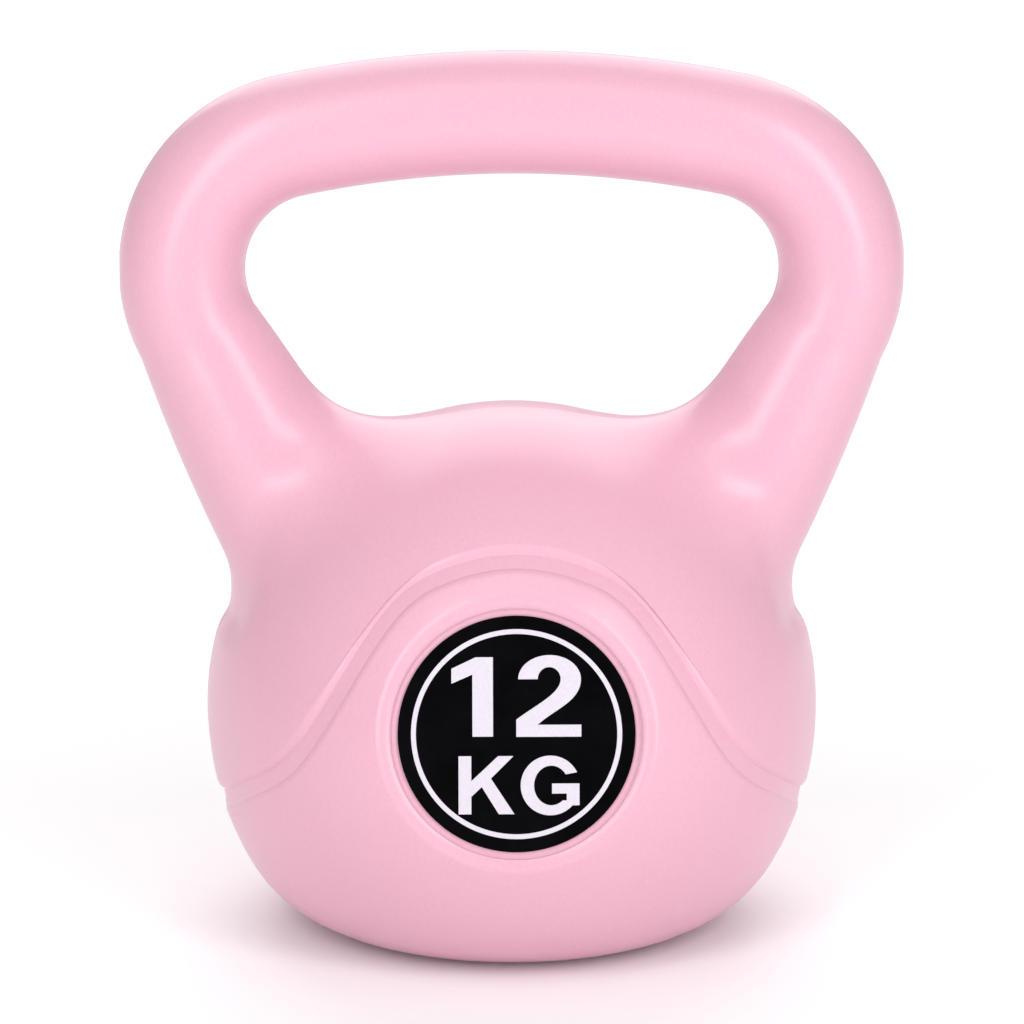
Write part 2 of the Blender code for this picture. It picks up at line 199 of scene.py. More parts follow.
def skin(points, inset=0.0, lowest=0.0):
    """Distance outside the skin: the smaller of ball and handle, less a share of the blend's width
    where the two are close. Under each leg the ball is pressed in a little, which leaves a low
    shoulder beside it: SHOULDER_EDGE and SHOULDER_SOFT are degrees round from the parting line.
    With an inset it is the cavity's wall, cut flat behind the labels and under `lowest`."""
    x, y, z = np.abs(points[..., 0]), points[..., 1], points[..., 2]
    ball = distance_to_ball(np.hypot(x, y), z)
    handle, blend = distance_to_handle(x, y, z)
    aside = np.abs(np.degrees(np.arctan2(y, np.maximum(x, 1e-9))))
    risen = eased((z - SHOULDER_LOW) / (SHOULDER_HIGH - SHOULDER_LOW))
    risen = risen * eased((x - SHOULDER_NEAR) / (SHOULDER_FAR - SHOULDER_NEAR))
    ball = ball + SHOULDER_DEPTH * risen * eased((SHOULDER_EDGE - aside) / SHOULDER_SOFT)
    share = np.clip(0.5 + 0.5 * (handle - ball) / blend, 0, 1)
    distance = handle * (1 - share) + ball * share - blend * share * (1 - share) + inset
    if inset > 0:
        outward = np.abs(y) * math.cos(LABEL_TILT) + (z - BALL_MIDDLE) * math.sin(LABEL_TILT)
        behind_label = outward - (POCKET_FLOOR - inset)
        distance = np.maximum(distance, np.maximum(behind_label, lowest - z))
    return distance


def slope_of(points, **form):
    """The direction in which the distance grows, measured a little to each side."""
    nudge = 1e-5
    sides = [
        skin(points + nudge * axis, **form) - skin(points - nudge * axis, **form)
        for axis in np.eye(3)
    ]
    return np.stack(sides, axis=-1) / (2 * nudge)


def settle(points, rounds=6, **form):
    """Move points onto the skin: each round goes back down the slope by the distance."""
    for _ in range(rounds):
        slope = slope_of(points, **form)
        steepness = np.maximum((slope**2).sum(axis=-1), LEAST_STEEPNESS)
        points = points - (skin(points, **form) / steepness)[..., None] * slope
    return points


# %% [markdown]
# ## The wave
#
# A channel runs right round the ball, over each label and down to a trough at each side. The mould
# cut it as a flat floor between two rolled shoulders, so it is a profile carried along a path. The
# path's height is a smooth curve through a few heights; the profile is two arcs and a sloping line.

# %% The wave's path round the ball
WAVE_CREST = LABEL_TILT + RIM_ANGLE + math.radians(6.45)
WAVE_TROUGH = math.radians(-16.7)
WAVE_ANGLES = (0, 18, 28, 35, 43, 56, 73, 90)
WAVE_SHARES = (1, 0.934, 0.787, 0.554, 0.333, 0.173, 0.051, 0)


def smooth_through(angles, values, at):
    """A cubic spline through the points, level at both ends."""
    angles, values = np.array(angles, float), np.array(values, float)
    step = np.diff(angles)
    count = len(angles)
    system, right = np.eye(count), np.zeros(count)
    for k in range(1, count - 1):
        system[k, k - 1 : k + 2] = step[k], 2 * (step[k] + step[k - 1]), step[k - 1]
        rise_before = (values[k] - values[k - 1]) / step[k - 1]
        rise_after = (values[k + 1] - values[k]) / step[k]
        right[k] = 3 * (rise_before * step[k] + rise_after * step[k - 1])
    slopes = np.linalg.solve(system, right)
    k = np.clip(np.searchsorted(angles, at) - 1, 0, count - 2)
    t = (at - angles[k]) / step[k]
    from_values = values[k] * (1 + 2 * t) * (1 - t) ** 2 + values[k + 1] * t**2 * (3 - 2 * t)
    from_slopes = slopes[k] * t * (1 - t) ** 2 - slopes[k + 1] * t**2 * (1 - t)
    return from_values + from_slopes * step[k]


def wave_direction(azimuth):
    """Unit vector from the ball's middle to the channel: turned by the azimuth, raised by the wave."""
    from_face = np.abs(np.degrees(azimuth))
    from_face = np.minimum(from_face, 180 - from_face)
    share = smooth_through(WAVE_ANGLES, WAVE_SHARES, from_face)
    height = WAVE_TROUGH + (WAVE_CREST - WAVE_TROUGH) * share
    across = np.cos(height)
    return np.stack([across * np.sin(azimuth), -across * np.cos(azimuth), np.sin(height)], axis=-1)


def beside_wave(azimuth, across, depth):
    """Points beside the channel's middle, `across` over the ball and at right angles to the path,
    and `depth` inside the ball. The first index runs along the path, the second across it."""
    step = 1e-4
    centre = wave_direction(azimuth)
    along = wave_direction(azimuth + step) - wave_direction(azimuth - step)
    along = along / np.linalg.norm(along, axis=-1, keepdims=True)
    upward = np.cross(centre, along)
    turned = (np.asarray(across) / BALL_RADIUS)[None, :, None]
    direction = np.cos(turned) * centre[:, None] + np.sin(turned) * upward[:, None]
    return MIDDLE + (BALL_RADIUS - np.asarray(depth))[..., None] * direction


# %% The channel's profile
FLOOR_HALF = 0.0026
UPPER_WIDTH = 0.0032
UPPER_DROP = 0.0014
LOWER_WIDTH = 0.0026
LOWER_DROP = 0.00085


def roll(width, drop, count):
    """An arc that leaves the ball level and ends `drop` below it, `width` away. The last two points
    are close together, which keeps the corner at its end crisp."""
    radius = (width**2 + drop**2) / (2 * drop)
    shares = np.append(np.linspace(0, 1, count), 0.97)
    turn = np.sort(shares) * 2 * math.atan2(drop, width)
    return radius * np.sin(turn), radius * (1 - np.cos(turn))


upper_run, upper_fall = roll(UPPER_WIDTH, UPPER_DROP, 9)
lower_run, lower_fall = roll(LOWER_WIDTH, LOWER_DROP, 8)
floor_run = FLOOR_HALF * np.array([0.94, 0.5, 0, -0.5, -0.94])
floor_fall = UPPER_DROP + (LOWER_DROP - UPPER_DROP) * (FLOOR_HALF - floor_run) / (2 * FLOOR_HALF)
PROFILE_ACROSS = np.concatenate(
    [FLOOR_HALF + UPPER_WIDTH - upper_run, floor_run, (lower_run - FLOOR_HALF - LOWER_WIDTH)[::-1]]
)
PROFILE_DEPTH = np.concatenate([upper_fall, floor_fall, lower_fall[::-1]])
profile_width = 1000 * np.ptp(PROFILE_ACROSS)
print("channel profile:", len(PROFILE_ACROSS), "points,", round(profile_width, 1), "mm wide")

# %% The channel, laid over a quarter of the ball
WAVE_STEPS = 120
WAVE_CROWDING = 0.6
fine = np.linspace(0, math.pi / 2, 2001)
run = np.linalg.norm(np.diff(wave_direction(fine), axis=0), axis=1)
run = np.concatenate([[0], np.cumsum(run)])
share = np.arange(WAVE_STEPS + 1) / WAVE_STEPS
share = share + WAVE_CROWDING * np.sin(math.pi * share) / math.pi
WAVE_AZIMUTHS = np.interp(share * run[-1], run, fine)
channel = beside_wave(WAVE_AZIMUTHS, PROFILE_ACROSS, PROFILE_DEPTH)
channel[0, :, 0] = 0
channel[-1, :, 1] = 0
print("a quarter of the channel:", round(1000 * BALL_RADIUS * run[-1], 1), "mm,", channel.shape[:2])

# %% [markdown]
# ## The mantle
#
# Everything above the channel is one smooth surface: the ball's shoulders, the horns, the legs and
# the bar. The object is the same left and right, front and back, so a quarter is enough, and it has
# four sides: the opening's edge, the outline with the channel's upper edge, and two cuts at x = 0.
# A grid stretched between those sides is relaxed like a net: each knot goes to the middle of its
# neighbours and back onto the skin, until the squares are even.


# %% Paths in the plane of the parting line
def path_length(path):
    """Distance along a row of points, from its first."""
    return np.concatenate([[0], np.cumsum(np.linalg.norm(np.diff(path, axis=0), axis=1))])


def at_lengths(path, lengths):
    """Points at these distances along the path."""
    run = path_length(path)
    return np.stack([np.interp(lengths, run, path[:, k]) for k in range(3)], axis=-1)


def parting_path(side, last_angle):
    """The skin's outline at y = 0 from the top of the bow to the ball: side is 1 outside the handle
    and -1 in its opening. Also the distances at which the corner, the leg and the ball begin."""
    bow = np.linspace(0, BOW_HALF_ANGLE, 60, endpoint=False)
    corner = np.linspace(BOW_HALF_ANGLE, math.pi / 2 + LEG_LEAN, 80, endpoint=False)
    on_bow = BOW + (BOW_RADIUS + side * BAR_RADIUS) * np.stack([np.sin(bow), np.cos(bow)], axis=-1)
    corner_ray = np.stack([np.sin(corner), np.cos(corner)], axis=-1)
    on_corner = CORNER + (CORNER_RADIUS + side * LEG_RADIUS) * corner_ray
    on_leg = LEG + side * LEG_RADIUS * OUTWARD + np.linspace(0, HORN_LENGTH, 200)[:, None] * DOWN
    on_leg = on_leg[np.hypot(on_leg[:, 0], on_leg[:, 1] - BALL_MIDDLE) > BALL_RADIUS]
    first_angle = math.atan2(on_leg[-1, 1] - BALL_MIDDLE, on_leg[-1, 0])
    around = np.linspace(first_angle, last_angle, 120)
    on_ball = BALL_RADIUS * np.stack([np.cos(around), np.sin(around)], axis=-1) + [0, BALL_MIDDLE]
    flat = np.concatenate([on_bow, on_corner, on_leg, on_ball])
    path = settle(np.stack([flat[:, 0], 0 * flat[:, 0], flat[:, 1]], axis=-1), rounds=12)
    stops = np.cumsum([len(on_bow), len(on_corner), len(on_leg)])
    return path, path_length(path)[stops]


outer_path, outer_stops = parting_path(1, WAVE_TROUGH + (FLOOR_HALF + UPPER_WIDTH) / BALL_RADIUS)
inner_path, inner_stops = parting_path(-1, math.pi / 2)
print("outline stops in mm:", np.round(1000 * outer_stops, 1))
print("opening stops in mm:", np.round(1000 * inner_stops, 1))

# %% The two long sides of the mantle's grid
SEAM_STEPS = 112
RINGS = 44
FOOT_SHARE = 0.40
FLANK_SHARE = 0.62

seam_run = np.linspace(0, path_length(outer_path)[-1], SEAM_STEPS + 1)
outer = settle(at_lengths(outer_path, seam_run), rounds=3)
outer = np.concatenate([outer[:-1], channel[::-1, 0]])
outer_run = path_length(outer)

inner_end = path_length(inner_path)[-1]
below_corner = inner_end - inner_stops[1]
below_marks = inner_stops[1] + below_corner * np.array([FOOT_SHARE, FLANK_SHARE, 1])
inner_marks = [0, *inner_stops[:2], *below_marks]
outer_marks = [0, *outer_stops, outer_run[SEAM_STEPS], outer_run[-1]]
inner = settle(at_lengths(inner_path, np.interp(outer_run, outer_marks, inner_marks)), rounds=3)
outer[:SEAM_STEPS, 1] = 0
inner[:, 1] = 0
outer[[0, -1], 0] = 0
inner[[0, -1], 0] = 0
print("long sides:", len(outer), "points each")

# %% Stretch the grid between them and relax it
# How far the middle of a row starts in front of its two ends, at each mark along the outline.
BULGES = [0.0195, 0.0195, 0.021, 0.030, 0.085, 0.012]
RELAX_ROUNDS = 300
bulge = np.interp(outer_run, outer_marks, BULGES)
v = np.linspace(0, 1, RINGS + 1)
half = (outer - inner)[:, None] / 2
mantle = (outer + inner)[:, None] / 2 - np.cos(math.pi * v)[None, :, None] * half
mantle[..., 1] -= bulge[:, None] * np.sin(math.pi * v)[None]
mantle[:, 1:-1] = settle(mantle[:, 1:-1])


def relaxed(grid, rounds):
    """Move each knot to the mean of its four neighbours and back onto the skin. The long sides stay,
    and the two short sides slide in the plane x = 0, where each neighbour has its mirror image."""
    for _ in range(rounds):
        above, below = np.roll(grid, 1, axis=0), np.roll(grid, -1, axis=0)
        above[0], below[-1] = grid[1] * [-1, 1, 1], grid[-2] * [-1, 1, 1]
        mean = (above[:, 1:-1] + below[:, 1:-1] + grid[:, :-2] + grid[:, 2:]) / 4
        grid[:, 1:-1] = settle(mean, rounds=1)
        grid[[0, -1], :, 0] = 0
    return grid


mantle = relaxed(mantle, RELAX_ROUNDS)
furthest = 1000 * np.abs(skin(mantle)).max()
print("mantle:", mantle.shape[:2], "points, furthest off the skin", round(furthest, 3), "mm")

# %% [markdown]
# The parting line is a ridge less than a millimetre wide, so the grid's rows have to lie close
# together near it. The rows are moved along the columns they already have: wide apart in the middle
# and close at both ends.

# %% Crowd the rows towards both long sides
ROW_CROWDING = 0.80


def crowded(share):
    """From 0 to 1, in small steps at both ends and large ones in the middle."""
    return share - ROW_CROWDING * np.sin(2 * math.pi * share) / (2 * math.pi)


place = crowded(v) * RINGS
lower_row = np.clip(np.floor(place).astype(int), 0, RINGS - 1)
part = (place - lower_row)[None, :, None]
between = mantle[:, lower_row] * (1 - part) + mantle[:, lower_row + 1] * part
mantle[:, 1:-1] = settle(between[:, 1:-1], rounds=3)
mantle[[0, -1], :, 0] = 0
halfway = SEAM_STEPS // 2
first_step = np.linalg.norm(mantle[halfway, 1] - mantle[halfway, 0])
print("rows next to the parting line:", round(1000 * first_step, 2), "mm apart")

# %% [markdown]
# ## The belly, the pocket and the base
#
# Below the channel the surface is a band from the pocket's rim out to the channel, the outline and
# the edge of the base. Its columns fan out from the label's axis, and each is an arc over the ball
# between its two ends. The pocket and the base are turned: a profile taken round an axis, with the
# same columns as the band, so that their points meet.


# %% Turn a profile round the label's axis or the upright axis
def turned_about_label(bearings, radii, heights):
    """Points at these radii and heights, taken round the label's axis from straight up, clockwise."""
    spoke = np.sin(bearings)[:, None] * LABEL_RIGHT + np.cos(bearings)[:, None] * LABEL_UP
    radii, heights = np.asarray(radii)[None, :, None], np.asarray(heights)[None, :, None]
    return MIDDLE + radii * spoke[:, None] + heights * LABEL_OUT


def turned_upright(azimuths, radii, heights):
    """Points at these radii and heights, taken round the Z axis from the front."""
    spoke = np.stack([np.sin(azimuths), -np.cos(azimuths), 0 * azimuths], axis=-1)
    radii, heights = np.asarray(radii)[None, :, None], np.asarray(heights)[None, :, None]
    return radii * spoke[:, None] + heights * np.array([0, 0, 1])


# %% The belly: from the pocket's rim to the channel, the outline and the base
FLANK_STEPS = 20
BASE_STEPS = 30
BELLY_ROWS = 26
LEAST_TURN = math.radians(0.25)
trough_end = WAVE_TROUGH - (FLOOR_HALF + LOWER_WIDTH) / BALL_RADIUS
foot_turn = np.linspace(0, 1, FLANK_STEPS + 1)[1:-1]
foot_angle = trough_end + (-math.atan2(BALL_MIDDLE, BASE_FLAT_RADIUS) - trough_end) * foot_turn
foot_ray = np.stack([np.cos(foot_angle), 0 * foot_angle, np.sin(foot_angle)], axis=-1)
flank = settle(MIDDLE + BALL_RADIUS * foot_ray)
base_azimuths = np.linspace(math.pi / 2, 0, BASE_STEPS + 1)
base_rim = turned_upright(base_azimuths, [BASE_FLAT_RADIUS], [0])[:, 0]
belly_edge = np.concatenate([channel[:, -1], flank, base_rim])

seen = (belly_edge - MIDDLE) / np.linalg.norm(belly_edge - MIDDLE, axis=-1, keepdims=True)
turn = np.diff(np.arctan2(seen @ LABEL_RIGHT, seen @ LABEL_UP))
bearings = np.concatenate([[0], np.cumsum(np.maximum(turn, LEAST_TURN))])
bearings *= math.pi / bearings[-1]
rim = turned_about_label(bearings, [RIM_RADIUS], [BALL_RADIUS * math.cos(RIM_ANGLE)])[:, 0]
from_rim = (rim - MIDDLE) / BALL_RADIUS
angle = np.arccos(np.clip((from_rim * seen).sum(axis=-1), -1, 1))[:, None, None]
t = crowded(np.linspace(0, 1, BELLY_ROWS + 1))[None, :, None]
arcs = np.sin((1 - t) * angle) * from_rim[:, None] + np.sin(t * angle) * seen[:, None]
belly = MIDDLE + BALL_RADIUS * arcs / np.sin(angle)
belly[:, 1:-1] = settle(belly[:, 1:-1])
belly[:, 0], belly[:, -1] = rim, belly_edge
belly[[0, -1], :, 0] = 0
print("belly:", belly.shape[:2], "points")

# %% The pocket: a rolled rim, a short wall and a flat floor
FLOOR_EDGE = 0.9 * POCKET_RADIUS
roll_turn = RIM_ANGLE + (ROLL_END - RIM_ANGLE) * np.linspace(0, 1, 13)
pocket_radii = RIM_RADIUS + ROLL_RADIUS * (np.sin(roll_turn) - math.sin(RIM_ANGLE))
pocket_heights = ROLL_CENTRE + ROLL_RADIUS * np.cos(roll_turn)
wall_heights = POCKET_FLOOR + POCKET_WALL * np.array([0.9, 0.5, 0.25, 0.08, 0])
wall_radii = POCKET_RADIUS - np.array([0, 0, 0, 0.0001, 0.0004])
pocket_radii = [*pocket_radii, *wall_radii, FLOOR_EDGE, 0]
pocket_heights = [*pocket_heights, *wall_heights, POCKET_FLOOR, POCKET_FLOOR]
pocket = turned_about_label(bearings, pocket_radii, pocket_heights)
pocket[:, 0] = rim
pocket[[0, -1], :, 0] = 0
print("pocket:", pocket.shape[:2], "points")

# %% The base: a foot ring, a recessed panel and the wall of the fill hole
FOOT_RING_WIDTH = 0.0130
RECESS_DEPTH = 0.0035
FILL_HOLE_RADIUS = 0.0160
PANEL_TOP = RECESS_DEPTH + WALL
EDGE_ROUND = 0.0008
recess = BASE_FLAT_RADIUS - FOOT_RING_WIDTH


def rounded(points, radius, count=4):
    """A profile with its corners rounded: each corner becomes a curve that starts and ends `radius`
    away from it, along the two lines that meet there."""
    points = np.array(points, float)
    made = [points[0]]
    for before, corner, after in zip(points, points[1:], points[2:]):
        start = corner + (before - corner) * radius / np.linalg.norm(before - corner)
        end = corner + (after - corner) * radius / np.linalg.norm(after - corner)
        t = np.linspace(0, 1, count + 1)[:, None]
        made.extend((1 - t) ** 2 * start + 2 * t * (1 - t) * corner + t**2 * end)
    made.append(points[-1])
    return np.array(made)


base_corners = [
    (BASE_FLAT_RADIUS, 0),
    (recess, 0),
    (recess - RECESS_DEPTH, RECESS_DEPTH),
    (FILL_HOLE_RADIUS, RECESS_DEPTH),
    (FILL_HOLE_RADIUS, PANEL_TOP),
]
base_profile = rounded(base_corners, EDGE_ROUND)
base = turned_upright(base_azimuths, *base_profile.T)
base[0, :, 1], base[-1, :, 0] = 0, 0
print("base:", base.shape[:2], "points")

# %% [markdown]
# ## The inside, and one closed skin
#
# A blown part has a wall, so the skin gets its inner face too: the same surface moved inwards by the
# wall's thickness, without the channel, which is too shallow to matter inside. It needs few points.
# The quarter is then mirrored twice, merged where its sides meet, and its parting line raised.

# %% The inner face
COARSE = 4
CAVITY_ROWS = 14
CAVITY_START = 0.8 * BALL_RADIUS
inner_form = {"inset": WALL, "lowest": PANEL_TOP}
liner = settle(mantle[::COARSE, ::COARSE] * 1.0, rounds=12, **inner_form)
liner[0, :, 0], liner[-1, :, 0], liner[:, 0, 1] = 0, 0, 0
liner[: SEAM_STEPS // COARSE + 1, -1, 1] = 0

top_row = liner[SEAM_STEPS // COARSE :, -1]
hole = turned_upright(base_azimuths, [FILL_HOLE_RADIUS], [PANEL_TOP])[:, 0]
from_top = top_row - MIDDLE
below = np.linspace(0, 1, CAVITY_ROWS + 1)[None, :, None]
azimuths = base_azimuths[:, None]
first_height = np.arctan2(from_top[:, 2], np.hypot(from_top[:, 0], from_top[:, 1]))[:, None]
first_azimuth = np.arctan2(from_top[:, 0], -from_top[:, 1])[:, None]
last_height = -math.atan2(BALL_MIDDLE - PANEL_TOP, FILL_HOLE_RADIUS)
height = first_height + (last_height - first_height) * below[..., 0]
azimuth = first_azimuth + (azimuths - first_azimuth) * below[..., 0]
ray = [np.cos(height) * np.sin(azimuth), -np.cos(height) * np.cos(azimuth), np.sin(height)]
cavity = settle(MIDDLE + CAVITY_START * np.stack(ray, axis=-1), rounds=20, **inner_form)
cavity[:, 0], cavity[:, -1] = top_row, hole
cavity[0, :, 1], cavity[-1, :, 0] = 0, 0
print("inner face:", liner.shape[:2], "and", cavity.shape[:2], "points")
print("off by at most", round(1000 * np.abs(skin(cavity, **inner_form)).max(), 3), "mm")


# %% Join grids into one mesh
def grid_faces(rows, columns, first=0):
    """The squares of a grid whose points are numbered row by row from `first`."""
    corner = (np.arange(rows - 1)[:, None] * columns + np.arange(columns - 1)[None] + first).ravel()
    return np.stack([corner, corner + 1, corner + columns + 1, corner + columns], axis=-1)


def mesh_of(name, grids, mirrors=((1, 1, 1),), merge=1e-6):
    """One mesh from several grids and their mirror images, merged where their points coincide."""
    points, faces, count = [], [], 0
    for mirror in mirrors:
        for grid in grids:
            points.append((grid * np.array(mirror)).reshape(-1, 3))
            faces.append(grid_faces(grid.shape[0], grid.shape[1], count))
            count += grid.shape[0] * grid.shape[1]
    mesh = bpy.data.meshes.new(name)
    mesh.from_pydata(np.concatenate(points), [], np.concatenate(faces))
    shape = bmesh.new()
    shape.from_mesh(mesh)
    bmesh.ops.remove_doubles(shape, verts=shape.verts, dist=merge)
    bmesh.ops.dissolve_degenerate(shape, edges=shape.edges, dist=merge)
    bmesh.ops.recalc_face_normals(shape, faces=shape.faces)
    open_edges = sum(not edge.is_manifold for edge in shape.edges)
    shape.to_mesh(mesh)
    shape.free()
    print(name, "has", len(mesh.vertices), "points,", len(mesh.polygons), "faces")
    print("open edges:", open_edges)
    return mesh


def piece_of(name, mesh, sharp=30):
    """A smooth-shaded object for a mesh, at the origin, its edges sharp above an angle in degrees."""
    mesh.shade_smooth()
    mesh.set_sharp_from_angle(angle=math.radians(sharp))
    piece = bpy.data.objects.new(name, mesh)
    bpy.context.scene.collection.objects.link(piece)
    return piece


QUARTERS = [(1, 1, 1), (-1, 1, 1), (1, -1, 1), (-1, -1, 1)]
shell_mesh = mesh_of("moulded_shell", [mantle, channel, belly, pocket, base, liner, cavity], QUARTERS)

# %% Raise the parting line
RIDGE_HEIGHT = 0.00022
RIDGE_WIDTH = 0.00045
RIDGE_FADE = 0.006
points = np.empty((len(shell_mesh.vertices), 3), np.float32)
shell_mesh.vertices.foreach_get("co", points.ravel())
points = points.astype(float)
on_outside = skin(points) > -0.5 * WALL
ridge = RIDGE_HEIGHT * np.exp(-((points[:, 1] / RIDGE_WIDTH) ** 2))
ridge = ridge * eased(points[:, 2] / RIDGE_FADE) * on_outside
slope = slope_of(points)
points += ridge[:, None] * slope / np.linalg.norm(slope, axis=-1, keepdims=True)
points = np.clip(points, np.array(cad_low), np.array(cad_high))
shell_mesh.vertices.foreach_set("co", points.astype(np.float32).ravel())
shell_mesh.update()
shell = piece_of("moulded_shell", shell_mesh)
print("ridge on", int((ridge > 1e-5).sum()), "points")

# %% [markdown]
# ## The labels
#
# Each label is a disc of black vinyl, cut with a blade, with its ring and its weight mark printed in
# white ink. The disc is a turned profile. The figures could come from a font, but a few arcs and
# straight lines make plain ones that suit any sign, so each is one closed outline, filled and given
# the thickness of a layer of screen ink.

# %% The vinyl disc
ALL_ROUND = np.linspace(0, 2 * math.pi, 161)
DISC_BOTTOM = POCKET_FLOOR + GAP
DISC_TOP = DISC_BOTTOM + LABEL_THICKNESS
CUT_ROUND = 0.00018

disc_corners = [
    (0, DISC_TOP),
    (LABEL_RADIUS, DISC_TOP),
    (LABEL_RADIUS, DISC_BOTTOM),
    (0, DISC_BOTTOM),
]
disc = turned_about_label(ALL_ROUND, *rounded(disc_corners, CUT_ROUND).T)
disc_mesh = mesh_of("disc", [disc])


# %% Arcs and bends for the outlines, in millimetres
def arc(centre, radii, first, last, count=24):
    """Part of an ellipse, anticlockwise angles in degrees from the right."""
    turn = np.radians(np.linspace(first, last, count))
    return np.array(centre) + np.array(radii) * np.stack([np.cos(turn), np.sin(turn)], axis=-1)


def bend(a, b, c, d, count=16):
    """A cubic curve from a to d that leaves towards b and arrives from c, without its two ends."""
    t = np.linspace(0, 1, count + 2)[1:-1, None]
    a, b, c, d = np.array([a, b, c, d], float)
    return (1 - t) ** 3 * a + 3 * t * (1 - t) ** 2 * b + 3 * t * t * (1 - t) * c + t**3 * d


# %% The figures, each from its own lower left corner, and where that corner lies on the label
figure_one = [(6.4, 0), (12.7, 0), (12.7, 24.4), (7.4, 24.4), (0, 20.9), (0, 16.3), (6.4, 19.1)]
figure_two = np.concatenate([
    [(0, 0), (19.9, 0), (19.9, 3.7), (6.6, 3.7)],
    bend((6.6, 3.7), (11.5, 8.4), (19.8, 10.8), (19.8, 17.7)),
    arc((10.2, 17.7), (9.6, 7.4), 0, 180),
    arc((10.1, 17.7), (3.5, 3.7), 180, 0),
    bend((13.6, 17.7), (13.6, 13.2), (5.6, 9.6), (0, 5.3)),
    [(0, 5.3)],
])
letter_k = [
    *((0, 0), (3.9, 0), (3.9, 5.4), (7.1, 8.4), (12.3, 0), (17.1, 0)),
    *((9.9, 11.0), (16.8, 17.9), (12.1, 17.9), (3.9, 10.2), (3.9, 17.9), (0, 17.9)),
]
letter_g = np.concatenate([
    arc((9.1, 9.2), (9.1, 9.2), 26, 318, 60),
    [(18.0, 3.1), (18.0, 9.8), (9.6, 9.8), (9.6, 6.7), (14.1, 6.7), (14.1, 4.6)],
    arc((9.4, 9.2), (5.3, 6.1), 311, 34, 48),
])
FIGURES = {
    "one": (figure_one, (-19.9, -0.7)),
    "two": (figure_two, (-0.1, -0.8)),
    "k": (letter_k, (-17.8, -24.6)),
    "g": (letter_g, (1.2, -25.0)),
}
print("outline points:", {name: len(outline) for name, (outline, _) in FIGURES.items()})


# %% Fill an outline and lay it on the label
MILLIMETRE = 0.001
INK_THICKNESS = 0.00004
INK_LIFT = 0.00001
RING_RADII = (32.3, 30.8)
RING_POINTS = 180


def ink_mesh(name, outlines):
    """A flat curve filled between its outlines, as thick as the ink, made a mesh and carried onto the
    label: its x to the label's right, its y to the label's top."""
    curve = bpy.data.curves.new(name, "CURVE")
    curve.dimensions = "2D"
    curve.fill_mode = "BOTH"
    curve.extrude = INK_THICKNESS / 2
    for outline in outlines:
        spline = curve.splines.new("POLY")
        spline.points.add(len(outline) - 1)
        with_weights = np.zeros((len(outline), 4))
        with_weights[:, :2] = np.asarray(outline, float) * MILLIMETRE
        with_weights[:, 3] = 1
        spline.points.foreach_set("co", with_weights.ravel())
        spline.use_cyclic_u = True
    flat = bpy.data.objects.new(name, curve)
    bpy.context.scene.collection.objects.link(flat)
    bpy.context.view_layer.update()
    graph = bpy.context.evaluated_depsgraph_get()
    mesh = bpy.data.meshes.new_from_object(flat.evaluated_get(graph))
    bpy.data.objects.remove(flat)
    points = np.empty((len(mesh.vertices), 3), np.float32)
    mesh.vertices.foreach_get("co", points.ravel())
    points[:, 2] += DISC_TOP + INK_LIFT + INK_THICKNESS / 2
    placed = MIDDLE + points @ np.array([LABEL_RIGHT, LABEL_UP, LABEL_OUT])
    mesh.vertices.foreach_set("co", placed.astype(np.float32).ravel())
    return mesh


last_point = 360 - 360 / RING_POINTS
ring = [arc((0, 0), (radius, radius), 0, last_point, RING_POINTS) for radius in RING_RADII]
ink_meshes = [ink_mesh("ring", ring)]
for name, (outline, corner) in FIGURES.items():
    ink_meshes.append(ink_mesh(name, [np.asarray(outline) + corner]))
print("ink:", [len(mesh.polygons) for mesh in ink_meshes], "faces")


# %% Front and back labels
def joined(name, meshes, turn_round):
    """One mesh from several, its doubles merged, turned half way round the Z axis for the back."""
    shape = bmesh.new()
    for mesh in meshes:
        shape.from_mesh(mesh)
    if turn_round:
        bmesh.ops.scale(shape, verts=shape.verts, vec=(-1, -1, 1))
    bmesh.ops.remove_doubles(shape, verts=shape.verts, dist=1e-6)
    bmesh.ops.recalc_face_normals(shape, faces=shape.faces)
    made = bpy.data.meshes.new(name)
    shape.to_mesh(made)
    shape.free()
    return made


labels = {}
for side in ("front", "back"):
    turn_round = side == "back"
    for part_name, meshes in (("_label_vinyl", [disc_mesh]), ("_label_ink", ink_meshes)):
        name = side + part_name
        labels[name] = piece_of(name, joined(name, meshes, turn_round))
    low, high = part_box(side + "_label")
    print(side, "label in the frame:", [round(1000 * value, 1) for value in (*low, *high)])

# %% [markdown]
# ## The plug
#
# The hole that the ballast went in by is closed with a moulded cup. A flange bears on the panel, a
# bead snaps past it, and the hollow underneath shows a small nub where the mould was filled and a
# ring that stiffens the cup. It is turned round the upright axis.

# %% The plug's profile
SPIGOT_RADIUS = FILL_HOLE_RADIUS - GAP
FLANGE_TOP = RECESS_DEPTH - GAP
FLANGE_BOTTOM = FLANGE_TOP - 0.0018
PLUG_TOP = FLANGE_TOP + 0.0130
PLUG_WALL = 0.0020
PLUG_BEAD = 0.0010
FLANGE_RADIUS = FILL_HOLE_RADIUS + 0.0045
STIFFENER_HEIGHT = 0.004
NUB_RADIUS = 0.0018
NUB_HEIGHT = 0.0009
MOULD_ROUND = 0.00025
bead_foot = PANEL_TOP + GAP
cup = SPIGOT_RADIUS - PLUG_WALL
cup_floor = PLUG_TOP - PLUG_WALL

